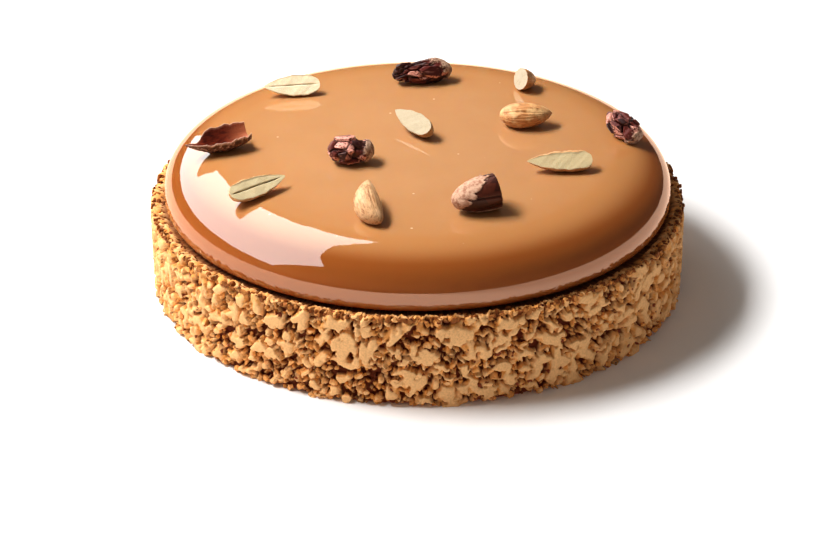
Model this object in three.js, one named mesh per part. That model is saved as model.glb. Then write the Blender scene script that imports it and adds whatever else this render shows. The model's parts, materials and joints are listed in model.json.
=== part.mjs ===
// Entremet: a round base of pressed nut crumbs, a glazed dome set on it, and almonds and cocoa
// beans laid on the glaze. Millimetres, +Z up, origin at the middle of the flat underside.
import * as THREE from 'three'
import { mergeVertices } from 'three/addons/utils/BufferGeometryUtils.js'

// Base, pressed in a ring of 18 cm
const BASE_RADIUS = 90
const BASE_HEIGHT = 31
const SEAT_RADIUS = 85.7
const BASE_STEPS_AROUND = 228
const BASE_STEPS_UP = 12
const CRUMB_SIZE = 4.2
const CRUMB_SUNK_DEPTH = 2.4
const PRESSED_SHARE = 0.5
const CREVICE_WIDTH = 1.2
const CREVICE_DEPTH = 1.3
const GRID_JITTER = 0.5
const LEDGE_RELIEF = 1.3
const RIM_BELOW_LEDGE = 0.6
const LEDGE_BELOW_SEAT = 0.3

// Dome, with a broad round shoulder and a foot that turns in where it meets the base
const DOME_FOOT_RADIUS = 83
const DOME_RADIUS = 85.1
const DOME_WIDEST_Z = 34
const DOME_SHOULDER_Z = 48.2
const DOME_TOP_Z = 48.6
const SHOULDER_START = 60
const SHOULDER_POWER = 2.5
const DOME_STEPS_AROUND = 72
const SHOULDER_STEPS = 11
const FOOT_STEPS = 4

// Toppings
const RESTING_GAP = 0.3
const ALMOND_BELLY = 0.4
const ALMOND_TAPER = 1.7
const ALMOND_TIP_BLUNTNESS = 0.8
const ALMOND_STEPS_AROUND = 16
const ALMOND_STEPS_ALONG = 10
const HALF_ALMOND_ARC_STEPS = 9
const HALF_ALMOND_STEPS_ALONG = 11
const SLIT_DEPTH = 1.1
const SLIT_HALF_WIDTH = 0.22
const BEAN_DETAIL = 4
const CRAG_GROOVE_SPREAD = 0.16
const CRAG_GROOVE_SHARE = 0.45
const HUSK_EDGE_BLEND = 0.1
const HUSK_WALL = 0.8
const HUSK_STATIONS = 14
const HUSK_ARC_STEPS = 8
const HUSK_FULLEST = 0.6

const DEGREE = Math.PI / 180

const finish = {
  crumb: new THREE.MeshStandardMaterial({ color: 0xb98a50, roughness: 0.85, metalness: 0 }),
  glaze: new THREE.MeshStandardMaterial({ color: 0xc4844c, roughness: 0.08, metalness: 0 }),
  almondFlesh: new THREE.MeshStandardMaterial({ color: 0xeedfba, roughness: 0.6, metalness: 0 }),
  almondSkin: new THREE.MeshStandardMaterial({ color: 0xc98f55, roughness: 0.65, metalness: 0 }),
  cocoa: new THREE.MeshStandardMaterial({ color: 0x44222a, roughness: 0.6, metalness: 0 }),
  husk: new THREE.MeshStandardMaterial({ color: 0x8a4630, roughness: 0.6, metalness: 0 }),
}

// A repeatable stream of random numbers from 0 to 1
function seededRandom(seed) {
  let state = seed
  return () => {
    state = (state + 0x6d2b79f5) | 0
    let mixed = Math.imul(state ^ (state >>> 15), 1 | state)
    mixed = (mixed + Math.imul(mixed ^ (mixed >>> 7), 61 | mixed)) ^ mixed
    return ((mixed ^ (mixed >>> 14)) >>> 0) / 4294967296
  }
}

function solidFrom(points, triangles) {
  const geometry = new THREE.BufferGeometry().setFromPoints(points)
  geometry.setIndex(triangles)
  geometry.computeVertexNormals()
  return geometry
}

// A closed skin over rings of equal point count, run from one end point to the other
function closedLoft(startPoint, rings, endPoint) {
  const count = rings[0].length
  const points = [startPoint, ...rings.flat(), endPoint]
  const last = points.length - 1
  const at = (ring, step) => 1 + ring * count + (step % count)
  const triangles = []
  for (let step = 0; step < count; step++) {
    triangles.push(at(0, step + 1), at(0, step), 0)
    for (let ring = 0; ring < rings.length - 1; ring++) {
      triangles.push(at(ring, step), at(ring, step + 1), at(ring + 1, step))
      triangles.push(at(ring, step + 1), at(ring + 1, step + 1), at(ring + 1, step))
    }
    triangles.push(at(rings.length - 1, step), at(rings.length - 1, step + 1), last)
  }
  return solidFrom(points, triangles)
}

// ---- Base of pressed crumbs ----

// Crumbs spread over the unrolled wall, some pressed flush with the ring and some sunk
function scatterCrumbs(random) {
  const columns = Math.round((2 * Math.PI * BASE_RADIUS) / CRUMB_SIZE)
  const rows = Math.round(BASE_HEIGHT / CRUMB_SIZE)
  const grid = []
  for (let column = 0; column < columns; column++) {
    const stack = []
    for (let row = -1; row <= rows; row++) {
      const along = (column + random()) / columns
      const up = ((row + random()) / rows) * BASE_HEIGHT
      const sunk = random() < PRESSED_SHARE ? 0 : random() * CRUMB_SUNK_DEPTH
      stack.push({ along, up, sunk })
    }
    grid.push(stack)
  }
  return grid
}

// How far the wall lies inside the ring at a place given as a share of the way round and a height
function wallDepth(grid, along, up) {
  const around = 2 * Math.PI * BASE_RADIUS
  const column = Math.floor(along * grid.length)
  let nearest = { distance: Infinity, sunk: 0 }
  let second = Infinity
  for (let side = -2; side <= 2; side++) {
    const stack = grid[(column + side + grid.length) % grid.length]
    for (const crumb of stack) {
      const across = (((crumb.along - along + 1.5) % 1) - 0.5) * around
      const distance = Math.hypot(across, crumb.up - up)
      if (distance < nearest.distance) {
        second = nearest.distance
        nearest = { distance, sunk: crumb.sunk }
      } else if (distance < second) {
        second = distance
      }
    }
  }
  const crevice = Math.max(0, 1 - (second - nearest.distance) / CREVICE_WIDTH)
  return nearest.sunk + CREVICE_DEPTH * crevice
}

function crumbBase() {
  const random = seededRandom(11)
  const grid = scatterCrumbs(random)
  const rings = []
  const ringOf = (place) => {
    const ring = []
    for (let step = 0; step < BASE_STEPS_AROUND; step++) {
      const { along, radius, height } = place(step)
      const angle = 2 * Math.PI * along
      ring.push(new THREE.Vector3(height, radius * Math.cos(angle), radius * Math.sin(angle)))
    }
    rings.push(ring)
  }
  for (let row = 0; row <= BASE_STEPS_UP; row++) {
    ringOf((step) => {
      const along = (step + GRID_JITTER * (random() - 0.5)) / BASE_STEPS_AROUND
      const drift = GRID_JITTER * (random() - 0.5)
      const inside = row > 0 && row < BASE_STEPS_UP
      const share = (row + (inside ? drift : 0)) / BASE_STEPS_UP
      const lift = row === BASE_STEPS_UP ? LEDGE_RELIEF * (random() - RIM_BELOW_LEDGE) : 0
      const radius = BASE_RADIUS - wallDepth(grid, along, share * BASE_HEIGHT)
      return { along, radius, height: share * BASE_HEIGHT + lift }
    })
  }
  const ledgeMiddle = (BASE_RADIUS - CRUMB_SUNK_DEPTH - CREVICE_DEPTH + SEAT_RADIUS) / 2
  ringOf((step) => ({
    along: step / BASE_STEPS_AROUND,
    radius: ledgeMiddle,
    height: BASE_HEIGHT + LEDGE_RELIEF * (random() - LEDGE_BELOW_SEAT),
  }))
  ringOf((step) => ({
    along: step / BASE_STEPS_AROUND,
    radius: SEAT_RADIUS,
    height: BASE_HEIGHT,
  }))
  const underside = new THREE.Vector3(0, 0, 0)
  const seat = new THREE.Vector3(BASE_HEIGHT, 0, 0)
  const geometry = closedLoft(underside, rings, seat)
  return geometry.rotateY(-Math.PI / 2).rotateZ(Math.PI)
}

// ---- Glazed dome ----

function domeProfile() {
  const profile = [new THREE.Vector2(0, BASE_HEIGHT)]
  for (let step = 0; step < FOOT_STEPS; step++) {
    const turn = (step / FOOT_STEPS) * (Math.PI / 2)
    const radius = DOME_FOOT_RADIUS + (DOME_RADIUS - DOME_FOOT_RADIUS) * Math.sin(turn)
    const height = DOME_WIDEST_Z - (DOME_WIDEST_Z - BASE_HEIGHT) * Math.cos(turn)
    profile.push(new THREE.Vector2(radius, height))
  }
  for (let step = 0; step <= SHOULDER_STEPS; step++) {
    const turn = (step / SHOULDER_STEPS) * (Math.PI / 2)
    const out = Math.max(0, Math.cos(turn)) ** (2 / SHOULDER_POWER)
    const radius = SHOULDER_START + (DOME_RADIUS - SHOULDER_START) * out
    profile.push(new THREE.Vector2(radius, domeHeight(radius)))
  }
  profile.push(new THREE.Vector2(SHOULDER_START / 2, domeHeight(SHOULDER_START / 2)))
  profile.push(new THREE.Vector2(0, DOME_TOP_Z))
  return profile
}

// Height of the glaze above the floor at a distance from the axis
function domeHeight(radius) {
  const crown = (DOME_TOP_Z - DOME_SHOULDER_Z) * Math.max(0, 1 - (radius / SHOULDER_START) ** 2)
  const out = Math.max(0, (radius - SHOULDER_START) / (DOME_RADIUS - SHOULDER_START))
  const up = Math.max(0, 1 - out ** SHOULDER_POWER) ** (1 / SHOULDER_POWER)
  return DOME_WIDEST_Z + (DOME_SHOULDER_Z - DOME_WIDEST_Z) * up + crown
}

function glazedDome() {
  return new THREE.LatheGeometry(domeProfile(), DOME_STEPS_AROUND).rotateX(Math.PI / 2)
}

// ---- Almonds ----

// Share of the full width at a place along an almond, from its round end, 0, to its tip, 1
function almondSwell(place) {
  if (place < ALMOND_BELLY) {
    return Math.sqrt(1 - (1 - place / ALMOND_BELLY) ** 2)
  }
  const towardsTip = (place - ALMOND_BELLY) / (1 - ALMOND_BELLY)
  return (1 - towardsTip ** ALMOND_TAPER) ** ALMOND_TIP_BLUNTNESS
}

// Places along an almond, closer together towards both ends
function placesAlong(end, steps) {
  const places = []
  for (let step = 1; step < steps; step++) {
    places.push((end * (1 - Math.cos((Math.PI * step) / steps))) / 2)
  }
  return places
}

// An almond in its skin, lying along X with the tip at +X and one side fuller than the other by
// the bow, as a share of its width; a broken one ends in a flat break at +X
function wholeAlmond({ length, width, thickness, bow = 0, brokenAt = 1 }) {
  const places = placesAlong(brokenAt, ALMOND_STEPS_ALONG)
  if (brokenAt < 1) places.push(brokenAt)
  const middle = brokenAt / 2
  const rings = places.map((place) => {
    const swell = almondSwell(place)
    const ring = []
    for (let step = 0; step < ALMOND_STEPS_AROUND; step++) {
      const turn = (2 * Math.PI * step) / ALMOND_STEPS_AROUND
      const across = width * swell * (Math.cos(turn) / 2 + bow)
      const up = (thickness / 2) * swell * Math.sin(turn)
      ring.push(new THREE.Vector3((place - middle) * length, across, up))
    }
    return ring
  })
  const start = new THREE.Vector3(-middle * length, 0, 0)
  const end = new THREE.Vector3(middle * length, bow * width * almondSwell(brokenAt), 0)
  return closedLoft(start, rings, end)
}

// Half an almond with its flat cut face up and, where the cut crosses both halves of the
// kernel, the narrow slit between them
function halfAlmond({ length, width, depth, slit = false }) {
  const arcSteps = HALF_ALMOND_ARC_STEPS
  const rings = placesAlong(1, HALF_ALMOND_STEPS_ALONG).map((place) => {
    const swell = almondSwell(place)
    const along = (place - 0.5) * length
    const slitDepth = slit ? SLIT_DEPTH * swell : 0
    const slitHalfWidth = SLIT_HALF_WIDTH * swell
    const ring = [
      new THREE.Vector3(along, slitHalfWidth, 0),
      new THREE.Vector3(along, 0, -slitDepth),
      new THREE.Vector3(along, -slitHalfWidth, 0),
    ]
    for (let step = 0; step <= arcSteps; step++) {
      const turn = Math.PI + (Math.PI * step) / arcSteps
      const across = (width / 2) * swell * Math.cos(turn)
      const up = depth * swell * Math.sin(turn)
      ring.push(new THREE.Vector3(along, across, step % arcSteps === 0 ? 0 : up))
    }
    return ring
  })
  const start = new THREE.Vector3(-length / 2, 0, 0)
  return closedLoft(start, rings, new THREE.Vector3(length / 2, 0, 0))
}

// ---- Cocoa beans ----

// Chips facing all ways out of a bean, each sunk by its own share
function scatterChips(count, random) {
  const chips = []
  for (let chip = 0; chip < count; chip++) {
    const up = 2 * random() - 1
    const turn = 2 * Math.PI * random()
    const flat = Math.sqrt(1 - up * up)
    const direction = new THREE.Vector3(flat * Math.cos(turn), flat * Math.sin(turn), up)
    chips.push({ direction, sunk: random() })
  }
  return chips
}

// A roasted bean, broken into crags up to where its smooth husk starts; one that is cut ends in
// a flat face at +X, at a share of the half length
function cocoaBean({ length, width, height, seed, crags, cragSize, huskFrom, cutAt = 1 }) {
  const chips = scatterChips(crags, seededRandom(seed))
  const sphere = new THREE.IcosahedronGeometry(1, BEAN_DETAIL)
  sphere.deleteAttribute('normal')
  sphere.deleteAttribute('uv')
  const geometry = mergeVertices(sphere)
  const place = geometry.getAttribute('position')
  const direction = new THREE.Vector3()
  for (let index = 0; index < place.count; index++) {
    direction.fromBufferAttribute(place, index).normalize()
    const ranked = chips.map((chip) => ({ gap: chip.direction.distanceTo(direction), chip }))
    ranked.sort((one, other) => one.gap - other.gap)
    const [nearest, second] = ranked
    const groove = Math.max(0, 1 - (second.gap - nearest.gap) / CRAG_GROOVE_SPREAD)
    const relief = THREE.MathUtils.lerp(nearest.chip.sunk, groove, CRAG_GROOVE_SHARE)
    const bare = 1 - THREE.MathUtils.smoothstep(
      direction.x, huskFrom - HUSK_EDGE_BLEND, huskFrom + HUSK_EDGE_BLEND)
    const cut = cragSize * bare * relief
    const along = Math.min(direction.x * (length / 2 - cut), (cutAt * length) / 2)
    const across = direction.y * (width / 2 - cut)
    place.setXYZ(index, along, across, direction.z * (height / 2 - cut))
  }
  geometry.computeVertexNormals()
  return geometry
}

// A curved sheet of even wall, closed by its rim, from matching points of both faces
function closedShell(outer, inner) {
  const stations = outer.length
  const count = outer[0].length
  const points = [...outer.flat(), ...inner.flat()]
  const outside = (station, step) => station * count + step
  const inside = (station, step) => stations * count + station * count + step
  const triangles = []
  const quad = (a, b, c, d) => triangles.push(a, b, c, a, c, d)
  for (let station = 0; station < stations - 1; station++) {
    const next = station + 1
    for (let step = 0; step < count - 1; step++) {
      quad(outside(station, step), outside(station, step + 1),
        outside(next, step + 1), outside(next, step))
      quad(inside(station, step), inside(next, step),
        inside(next, step + 1), inside(station, step + 1))
    }
    quad(outside(station, 0), outside(next, 0), inside(next, 0), inside(station, 0))
    quad(inside(station, count - 1), inside(next, count - 1),
      outside(next, count - 1), outside(station, count - 1))
  }
  for (let step = 0; step < count - 1; step++) {
    const last = stations - 1
    quad(inside(0, step), inside(0, step + 1), outside(0, step + 1), outside(0, step))
    quad(outside(last, step), outside(last, step + 1),
      inside(last, step + 1), inside(last, step))
  }
  return solidFrom(points, triangles)
}

// A curved piece of husk like a small boat: pointed at -X, broken off wide at +X, its torn
// rim high on the +Y side
function cocoaHusk({ length, width, depth, seed }) {
  const random = seededRandom(seed)
  const outer = []
  const inner = []
  for (let station = 0; station <= HUSK_STATIONS; station++) {
    const place = station / HUSK_STATIONS
    const along = (place - 0.5) * length
    const swell = huskSwell(place)
    const wall = Math.min(HUSK_WALL, 0.45 * depth * swell)
    // Both rims as shares of a half turn below the level of the husk's own middle line
    const rise = 0.28 * THREE.MathUtils.smoothstep(place, 0.15, 0.42)
    const leftRim = 0.18 - rise + 0.08 * random()
    const rightRim = 0.02 + 0.07 * random()
    const outerArc = []
    const innerArc = []
    for (let step = 0; step <= HUSK_ARC_STEPS; step++) {
      const share = 1 - step / HUSK_ARC_STEPS
      const turn = Math.PI * (1 + leftRim + (1 - leftRim - rightRim) * share)
      const arcPoint = (inset) => new THREE.Vector3(
        along,
        -((width / 2) * swell - inset) * Math.cos(turn),
        (depth * swell - inset) * Math.sin(turn),
      )
      outerArc.push(arcPoint(0))
      innerArc.push(arcPoint(wall))
    }
    outer.push(outerArc)
    inner.push(innerArc)
  }
  return closedShell(outer, inner)
}

// Share of the full section at a place along the husk, from its point, 0, to its broken end, 1
function huskSwell(place) {
  if (place < HUSK_FULLEST) {
    return 0.1 + 0.9 * Math.sin((Math.PI / 2) * (place / HUSK_FULLEST)) ** 0.8
  }
  return 1 - 0.3 * ((place - HUSK_FULLEST) / (1 - HUSK_FULLEST)) ** 2
}

// ---- Where each topping lies ----
// at: place on the dome, from its axis; heading: where the tip or the +X end points, from +X;
// pitch: how far that end is raised; roll: turn about the piece's own length

const toppings = [
  {
    name: 'almond_half_back_left', material: finish.almondFlesh,
    shape: halfAlmond({ length: 19.6, width: 7.6, depth: 4.6, slit: true }),
    at: [-43.7, 41.3], heading: 187, pitch: 0, roll: -50,
  },
  {
    name: 'cocoa_bean_back', material: finish.cocoa,
    shape: cocoaBean({
      length: 22.8, width: 12, height: 10.6, seed: 3, crags: 34, cragSize: 2.2, huskFrom: 0.4,
    }),
    at: [1, 53.2], heading: 11, pitch: 0, roll: 0,
  },
  {
    name: 'almond_piece_back_right', material: finish.almondSkin,
    shape: wholeAlmond({ length: 19, width: 8.4, thickness: 7.6, brokenAt: 0.38 }),
    at: [38.2, 48.6], heading: 230, pitch: 22, roll: 0,
  },
  {
    name: 'almond_whole_right', material: finish.almondSkin,
    shape: wholeAlmond({ length: 18, width: 10.8, thickness: 8, bow: -0.08 }),
    at: [36.8, 16.6], heading: 1, pitch: 2, roll: 0,
  },
  {
    name: 'cocoa_bean_right', material: finish.cocoa,
    shape: cocoaBean({
      length: 16, width: 11.8, height: 9.8, seed: 8, crags: 30, cragSize: 2.2, huskFrom: 0.62,
    }),
    at: [69.2, 8.2], heading: -47, pitch: -18, roll: 0,
  },
  {
    name: 'almond_half_middle', material: finish.almondFlesh,
    shape: halfAlmond({ length: 18.6, width: 7, depth: 6 }),
    at: [-1.9, 9.1], heading: 128, pitch: 3, roll: -42,
  },
  {
    name: 'cocoa_husk_left', material: finish.husk,
    shape: cocoaHusk({ length: 22.4, width: 10.6, depth: 6, seed: 5 }),
    at: [-66.8, -3.8], heading: 24, pitch: 4, roll: 0,
  },
  {
    name: 'cocoa_bean_middle', material: finish.cocoa,
    shape: cocoaBean({
      length: 16.8, width: 13.2, height: 10.8, seed: 17, crags: 26, cragSize: 2.2, huskFrom: 0.66,
    }),
    at: [-22.5, -12.8], heading: -4, pitch: 0, roll: 0,
  },
  {
    name: 'almond_half_left', material: finish.almondFlesh,
    shape: halfAlmond({ length: 22, width: 7.6, depth: 4.4, slit: true }),
    at: [-51.3, -37.8], heading: 40, pitch: 0, roll: 30,
  },
  {
    name: 'almond_half_right', material: finish.almondFlesh,
    shape: halfAlmond({ length: 21.6, width: 8, depth: 4.2 }),
    at: [46.5, -19.3], heading: 185, pitch: 0, roll: -26,
  },
  {
    name: 'cocoa_bean_front', material: finish.cocoa,
    shape: cocoaBean({
      length: 27, width: 13, height: 12, seed: 21, crags: 12, cragSize: 0.6,
      huskFrom: 0.9, cutAt: 0.14,
    }),
    at: [23.3, -46.7], heading: 17, pitch: 8, roll: 0,
  },
  {
    name: 'almond_whole_front', material: finish.almondSkin,
    shape: wholeAlmond({ length: 22, width: 8.8, thickness: 7.4, bow: 0.3 }),
    at: [-13.7, -50.1], heading: 101, pitch: 12, roll: 0,
  },
]

// Lowers a placed piece until its nearest point is the resting gap above the glaze
function setDown(mesh) {
  mesh.updateMatrixWorld()
  const place = mesh.geometry.getAttribute('position')
  const point = new THREE.Vector3()
  let clearance = Infinity
  for (let index = 0; index < place.count; index++) {
    point.fromBufferAttribute(place, index).applyMatrix4(mesh.matrixWorld)
    clearance = Math.min(clearance, point.z - domeHeight(Math.hypot(point.x, point.y)))
  }
  mesh.position.z += RESTING_GAP - clearance
}

function layTopping({ name, material, shape, at, heading, pitch, roll }) {
  const mesh = new THREE.Mesh(shape, material)
  mesh.name = name
  mesh.rotation.set(roll * DEGREE, -pitch * DEGREE, heading * DEGREE, 'ZYX')
  mesh.position.set(at[0], at[1], DOME_TOP_Z)
  setDown(mesh)
  return mesh
}

const group = new THREE.Group()

const base = new THREE.Mesh(crumbBase(), finish.crumb)
base.name = 'crumb_base'
group.add(base)

const dome = new THREE.Mesh(glazedDome(), finish.glaze)
dome.name = 'glazed_dome'
group.add(dome)

for (const topping of toppings) {
  group.add(layTopping(topping))
}

export default group
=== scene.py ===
import json
import math

import bmesh
import bpy
import mathutils.noise
import numpy as np
from mathutils import Matrix, Vector

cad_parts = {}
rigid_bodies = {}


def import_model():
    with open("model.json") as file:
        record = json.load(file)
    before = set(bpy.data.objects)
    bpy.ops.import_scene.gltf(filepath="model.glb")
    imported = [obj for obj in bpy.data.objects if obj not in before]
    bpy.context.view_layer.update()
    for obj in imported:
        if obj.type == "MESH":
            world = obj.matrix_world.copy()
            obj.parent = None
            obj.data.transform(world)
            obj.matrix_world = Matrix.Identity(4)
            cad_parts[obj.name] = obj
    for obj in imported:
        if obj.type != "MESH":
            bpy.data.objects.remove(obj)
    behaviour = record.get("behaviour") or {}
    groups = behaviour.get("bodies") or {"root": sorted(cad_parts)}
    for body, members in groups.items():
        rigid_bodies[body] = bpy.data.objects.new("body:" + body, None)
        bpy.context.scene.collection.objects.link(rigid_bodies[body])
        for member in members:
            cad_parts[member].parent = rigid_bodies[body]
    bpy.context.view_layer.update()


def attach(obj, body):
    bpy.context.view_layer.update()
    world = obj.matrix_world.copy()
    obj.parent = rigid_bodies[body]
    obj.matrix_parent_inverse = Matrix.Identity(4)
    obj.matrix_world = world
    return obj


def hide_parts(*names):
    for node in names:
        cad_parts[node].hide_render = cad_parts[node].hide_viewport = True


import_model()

# ---- Pressed crust of the base ----
# A thick disc of praline crumbs, pressed in an 18 cm ring. Crumbs that met the ring are flat and
# pale; between them the wall is open, down to darker crumbs, with painted shade deeper in. Each
# crumb is stamped into the wall.

MM = 0.001
RING_RADIUS = 90.0
BASE_HEIGHT = 31.0
SEAT_RADIUS = 84.4
GIRTH = 2 * math.pi * RING_RADIUS
WALL_COLUMNS = 1250
WALL_ROWS = 69
WALL_FLOOR_DEPTH = 3.3
# half size from and to, how many, sunk from and to; all in mm
PRESSED_CRUMBS = (
    (0.9, 2.2, 800, -1.1, 0.1),
    (0.5, 1.15, 2400, -0.3, 2.0),
    (0.35, 0.7, 5600, 0.3, 2.9),
)
PLATEAU_STEP = 0.16
PRESSED_TILT = 0.03
CRUMB_CORNERS = 6
LONGEST_CRUMB = 2.3
# how far crumb outlines are swept aside, and over what size
OUTLINE_SWEEPS = ((0.6, 2.2), (0.34, 0.9))
SWEEP_REACH = 1.2
# how loosely the crumbs are packed, in broad patches, at the ragged foot and at the rim
PATCH_LOOSENESS, PATCH_SIZE = 0.6, 11
FOOT_HEIGHT, FOOT_LOOSENESS, FOOT_RAGGED, FOOT_RAG_SIZE = 3.0, 0.7, 2.0, 6
RIM_FROM, RIM_SPAN, RIM_LOOSENESS = 25, 6, 0.9
TIGHTEST = -0.3
FLOOR_RELIEF, FLOOR_LUMP = 0.5, 1.3
# share of the way from the rim in to the seat, height, and how ragged it is
LEDGE_RINGS = ((0.25, 31.0, 0.5), (0.6, 30.4, 0.4), (1.0, 29.8, 0.2))


def lattice_noise(random, along, up, size):
    """Smooth noise from -1 to 1 over the unrolled wall, with lumps about size mm across."""
    count = round(GIRTH / size)
    values = random.uniform(-1, 1, (count, int(BASE_HEIGHT / size) + 12))
    across, height = along / GIRTH * count, up / size + 4
    column, row = np.floor(across).astype(int), np.floor(height).astype(int)
    a, b = across - column, height - row
    a, b = a * a * (3 - 2 * a), b * b * (3 - 2 * b)
    near, far = column % count, (column + 1) % count
    low = values[near, row] * (1 - a) + values[far, row] * a
    high = values[near, row + 1] * (1 - a) + values[far, row + 1] * a
    return low * (1 - b) + high * b


def swept(random, places, along, up):
    """Places on the wall, swept aside here and there so that no crumb is a plain oval."""
    for reach, size in OUTLINE_SWEEPS:
        places = places + reach * lattice_noise(random, along, up, size)
    return places


def wall_depth(random, along, up):
    """How far the wall lies inside the ring, once every crumb is stamped into it."""
    swept_along = swept(random, along, along, up)
    swept_up = swept(random, up, along, up)
    patches = PATCH_LOOSENESS * lattice_noise(random, along, up, PATCH_SIZE)
    foot = FOOT_LOOSENESS + FOOT_RAGGED * lattice_noise(random, along, up, FOOT_RAG_SIZE)
    looseness = patches + np.clip(1 - up / FOOT_HEIGHT, 0, 1) * foot \
        + RIM_LOOSENESS * np.clip((up - RIM_FROM) / RIM_SPAN, 0, 1)
    looseness = np.maximum(looseness, TIGHTEST)
    depth = WALL_FLOOR_DEPTH + FLOOR_RELIEF * lattice_noise(random, along, up, FLOOR_LUMP)
    step = GIRTH / WALL_COLUMNS
    for smallest, largest, count, least_sunk, most_sunk in PRESSED_CRUMBS:
        for _ in range(count):
            middle_along = random.uniform(0, GIRTH)
            middle_up = random.uniform(-1.0, BASE_HEIGHT + 1.0)
            half = random.uniform(smallest, largest)
            stretch = random.uniform(1.0, LONGEST_CRUMB)
            sunk = random.uniform(least_sunk, most_sunk)
            plateau = random.uniform(0, PLATEAU_STEP)
            tilt = random.uniform(-PRESSED_TILT, PRESSED_TILT, 2)
            sides = np.sort(random.uniform(0, 2 * math.pi, CRUMB_CORNERS))
            reaches = random.uniform(0.6, 1.0, CRUMB_CORNERS)
            turn = random.uniform(0, math.pi)
            reach = half * stretch + SWEEP_REACH
            first = int((middle_along - reach) / step)
            columns = np.arange(first, int((middle_along + reach) / step) + 2) % WALL_COLUMNS
            rows = np.flatnonzero(np.abs(up[0] - middle_up) < reach)
            if not len(rows):
                continue
            window = np.ix_(columns, rows)
            across = (swept_along[window] - middle_along + GIRTH / 2) % GIRTH - GIRTH / 2
            rise = swept_up[window] - middle_up
            u = (across * math.cos(turn) + rise * math.sin(turn)) / (half * stretch)
            v = (rise * math.cos(turn) - across * math.sin(turn)) / half
            out = np.sqrt(u * u + v * v)
            for side, limit in zip(sides, reaches):
                out = np.maximum(out, (u * math.cos(side) + v * math.sin(side)) / limit)
            face = sunk + looseness[window] + half * (1 - np.sqrt(np.clip(1 - out * out, 0, 1)))
            pressed = plateau + np.abs(tilt[0] * across + tilt[1] * rise)
            face = np.where(out < 1, np.maximum(face, pressed), np.inf)
            depth[window] = np.minimum(depth[window], face)
    return depth


def into_scene(name, data):
    made = bpy.data.objects.new(name, data)
    bpy.context.scene.collection.objects.link(made)
    return made


def make_piece(name, points, faces, material):
    """A smooth mesh object at the origin, from points in mm and faces turned outwards."""
    mesh = bpy.data.meshes.new(name)
    mesh.from_pydata((np.asarray(points, float) * MM).tolist(), [], faces)
    mesh.validate()
    mesh.polygons.foreach_set("use_smooth", [True] * len(mesh.polygons))
    mesh.materials.append(material)
    return into_scene(name, mesh)


def loft_faces(rings, count):
    """Faces of a closed skin over rings of count points, between a start and an end point."""
    end = 1 + rings * count
    faces = []
    for step in range(count):
        after = (step + 1) % count
        faces.append((0, 1 + after, 1 + step))
        for ring in range(rings - 1):
            low, high = 1 + ring * count, 1 + (ring + 1) * count
            faces.append((low + step, low + after, high + after, high + step))
        last = 1 + (rings - 1) * count
        faces.append((last + step, last + after, end))
    return faces


def colour(red, green, blue):
    """A linear colour from the three numbers, 0 to 255, that a screen would show."""
    return tuple(
        (c / 12.92 if c <= 0.04045 else ((c + 0.055) / 1.055) ** 2.4)
        for c in (red / 255, green / 255, blue / 255)
    ) + (1.0,)


def node(tree, kind, inputs=(), **settings):
    """A node with its settings, each input given a value or another node's output."""
    made = tree.nodes.new(kind)
    for key, value in settings.items():
        setattr(made, key, value)
    for socket, value in dict(inputs).items():
        if isinstance(value, bpy.types.NodeSocket):
            tree.links.new(value, made.inputs[socket])
        else:
            made.inputs[socket].default_value = value
    return made


def new_material(name, **uniform):
    """A material with a Principled BSDF, its uniform values set on the shader's own sockets."""
    material = bpy.data.materials.new(name)
    material.use_nodes = True
    shader = material.node_tree.nodes["Principled BSDF"]
    for socket, value in uniform.items():
        shader.inputs[socket.replace("_", " ")].default_value = value
    return material, material.node_tree, shader


def mix(tree, share, first, second):
    """A colour between two, by a share from 0 to 1."""
    made = node(tree, "ShaderNodeMix", data_type="RGBA")
    for socket, value in ((0, share), (6, first), (7, second)):
        if isinstance(value, bpy.types.NodeSocket):
            tree.links.new(value, made.inputs[socket])
        else:
            made.inputs[socket].default_value = value
    return made.outputs[2]


def ramp(tree, value, start, end, low=0.0, high=1.0):
    """A smooth step from low to high as the value goes from start to end."""
    return node(tree, "ShaderNodeMapRange", {"Value": value, "From Min": start, "From Max": end,
                                             "To Min": low, "To Max": high},
                interpolation_type="SMOOTHSTEP").outputs[0]


def noise(tree, vector, scale, detail=3.0, roughness=0.55):
    return node(tree, "ShaderNodeTexNoise", {"Vector": vector, "Scale": scale, "Detail": detail,
                                             "Roughness": roughness}).outputs["Fac"]


def blotches(tree, vector, scale, detail, start, end, roughness=0.55):
    return ramp(tree, noise(tree, vector, scale, detail, roughness), start, end)


def maths(tree, operation, first, second=0.0):
    return node(tree, "ShaderNodeMath", {0: first, 1: second}, operation=operation).outputs[0]


def own_place(tree):
    return node(tree, "ShaderNodeTexCoord").outputs["Object"]


def axis(tree, vector, letter):
    return node(tree, "ShaderNodeSeparateXYZ", {0: vector}).outputs[letter]


def kept(tree, name):
    """A number kept at each point of the mesh."""
    return node(tree, "ShaderNodeAttribute", attribute_name=name).outputs["Fac"]


def bump(tree, height, strength, distance, **over):
    """Low relief, its distance in mm, laid over a given Normal or the plain surface."""
    return node(tree, "ShaderNodeBump", {"Height": height, "Strength": strength,
                                         "Distance": distance * MM, **over}).outputs[0]


def dress(tree, shader, shade, *relief):
    """Gives a shader its colour over the surface, and its bump."""
    tree.links.new(shade, shader.inputs["Base Color"])
    tree.links.new(bump(tree, *relief), shader.inputs["Normal"])


# depths in metres inside the ring, over which pale faces turn toasted, and toasted ones to the
# dark of a shaded crevice, a painted shade
PALE_DEPTHS = (0.00018, 0.0006)
CREVICE_SHADE_DEPTHS = (0.0012, 0.0031)
# a crumb is palest at this height; lower down it darkens as if deep in the wall, by painted shade
CRUST_TOP = BASE_HEIGHT + 1.5


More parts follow.
